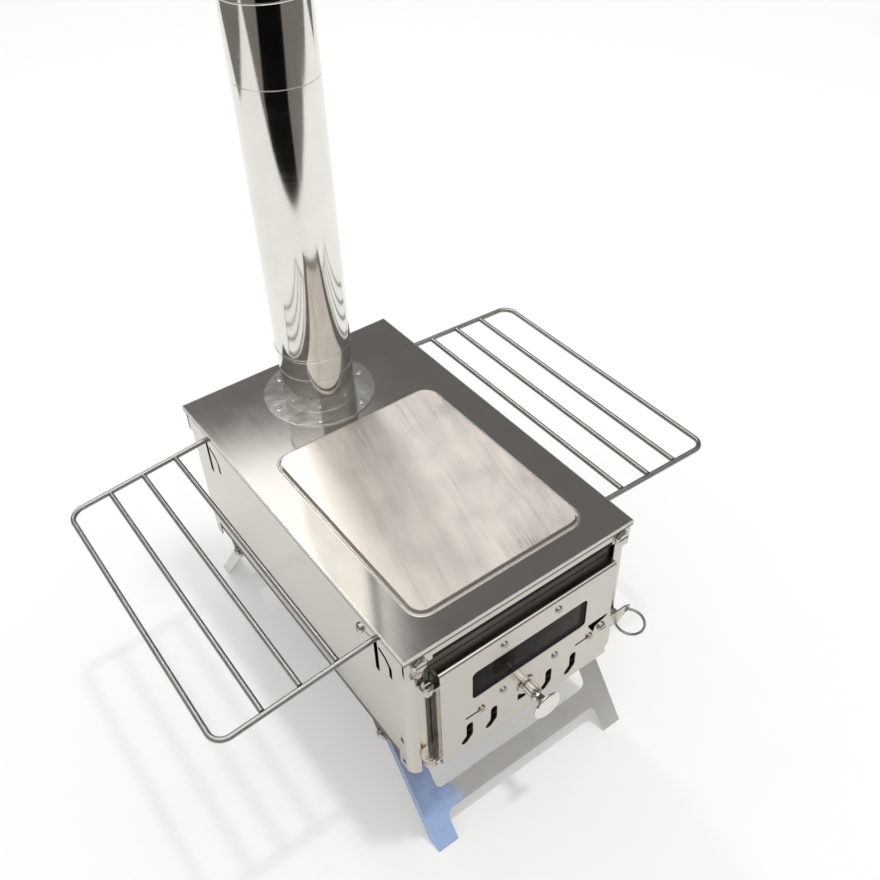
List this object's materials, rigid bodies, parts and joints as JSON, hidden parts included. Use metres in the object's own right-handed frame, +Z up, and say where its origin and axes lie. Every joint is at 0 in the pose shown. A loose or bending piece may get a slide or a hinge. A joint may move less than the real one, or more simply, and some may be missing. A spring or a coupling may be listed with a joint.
{
  "type": "tent wood stove",
  "caption": "Folding stainless wood stove with a hinged glass door, sliding air shutter, drop latch, swing-up side racks, folding legs and a stacked flue pipe.",
  "frame": {"origin": "centre of the bounding box's footprint, on the ground", "axes": "+Z up along the flue pipe, the door faces -Y, +X to the right of someone facing the door"},
  "size_m": [0.4372, 0.3694, 0.7542],
  "materials": {
    "satin_stainless": "satin",
    "top_stainless": "brushed",
    "hot_plate_stainless": "brushed",
    "mirror_stainless": "mirror",
    "screw_steel": "satin",
    "wire_stainless": "polished",
    "leg_stainless": "satin",
    "heat_glass": "polished",
    "grate_stainless": "dull"
  },
  "bodies": {
    "firebox": {"top_plate": "top_stainless", "hot_plate": "hot_plate_stainless", "left_side_panel": "satin_stainless", "right_side_panel": "satin_stainless", "front_frame": "satin_stainless", "inner_front_wall": "satin_stainless", "rear_panel": "satin_stainless", "bottom_pan": "satin_stainless", "top_stiffener": "satin_stainless", "smoke_baffle": "satin_stainless", "corner_screws": "screw_steel", "corner_screw_nuts": "screw_steel", "side_screws": "screw_steel", "side_screw_nuts": "screw_steel", "flue_collar": "mirror_stainless", "flue_rivets": "mirror_stainless", "hinge_bracket": "satin_stainless", "hinge_pivot_screws": "screw_steel", "hinge_pivot_nuts": "screw_steel", "leg_pivot_screws": "screw_steel", "leg_pivot_washers": "screw_steel", "leg_pivot_nuts": "screw_steel"},
    "door": {"door_panel": "satin_stainless", "door_hinge_leaf": "satin_stainless", "window_glass": "heat_glass", "glass_retainer": "satin_stainless", "window_screws": "screw_steel", "window_nuts": "screw_steel", "door_knob": "mirror_stainless", "knob_washer": "screw_steel", "knob_nut": "screw_steel", "latch_screw": "screw_steel", "latch_nut": "screw_steel"},
    "shutter": {"air_shutter": "satin_stainless", "shutter_guide_screws": "screw_steel", "shutter_guide_nuts": "screw_steel"},
    "latch": {"latch_lever": "satin_stainless"},
    "ring": {"latch_ring": "wire_stainless"},
    "left_rack": {"left_rack_frame": "wire_stainless", "left_rack_bars": "wire_stainless"},
    "right_rack": {"right_rack_frame": "wire_stainless", "right_rack_bars": "wire_stainless"},
    "front_legs": {"front_leg_frame": "leg_stainless"},
    "rear_legs": {"rear_leg_frame": "leg_stainless"},
    "chimney_lower": {"chimney_section_1": "mirror_stainless"},
    "chimney_upper": {"chimney_section_2": "mirror_stainless"},
    "grate": {"fire_grate": "grate_stainless"}
  },
  "joints": [
    {"name": "door_hinge", "type": "hinge", "parent": "firebox", "child": "door", "pos_m": [-0.0865, -0.15895, 0.146], "axis": [0, 0, 1], "range_deg": [-135, 0]},
    {"name": "shutter_slide", "type": "slide", "parent": "door", "child": "shutter", "axis": [1, 0, 0], "range_m": [-0.012, 0]},
    {"name": "latch_pivot", "type": "hinge", "parent": "door", "child": "latch", "pos_m": [0.0737, -0.15895, 0.1297], "axis": [0, 1, 0], "range_deg": [0, 7]},
    {"name": "ring_swing", "type": "hinge", "parent": "latch", "child": "ring", "pos_m": [0.1025, -0.15895, 0.1261], "axis": [0, -1, 0], "range_deg": [0, 90]},
    {"name": "left_rack_swing", "type": "hinge", "parent": "firebox", "child": "left_rack", "pos_m": [-0.1024, 0.00405, 0.2115], "axis": [0, 1, 0], "range_deg": [0, 90]},
    {"name": "right_rack_swing", "type": "hinge", "parent": "firebox", "child": "right_rack", "pos_m": [0.1024, 0.00405, 0.2115], "axis": [0, 1, 0], "range_deg": [-90, 0]},
    {"name": "front_legs_fold", "type": "hinge", "parent": "firebox", "child": "front_legs", "pos_m": [0, -0.10995, 0.085], "axis": [1, 0, 0], "range_deg": [0, 125]},
    {"name": "rear_legs_fold", "type": "hinge", "parent": "firebox", "child": "rear_legs", "pos_m": [0, 0.11805, 0.085], "axis": [1, 0, 0], "range_deg": [-125, 0]},
    {"name": "chimney_lower_lift", "type": "slide", "parent": "firebox", "child": "chimney_lower", "axis": [0, 0, 1], "range_m": [0, 0.055]},
    {"name": "chimney_upper_lift", "type": "slide", "parent": "chimney_lower", "child": "chimney_upper", "axis": [0, 0, 1], "range_m": [0, 0.055]},
    {"name": "grate_lift", "type": "slide", "parent": "firebox", "child": "grate", "axis": [0, 0, 1], "range_m": [0, 0.03]}
  ]
}
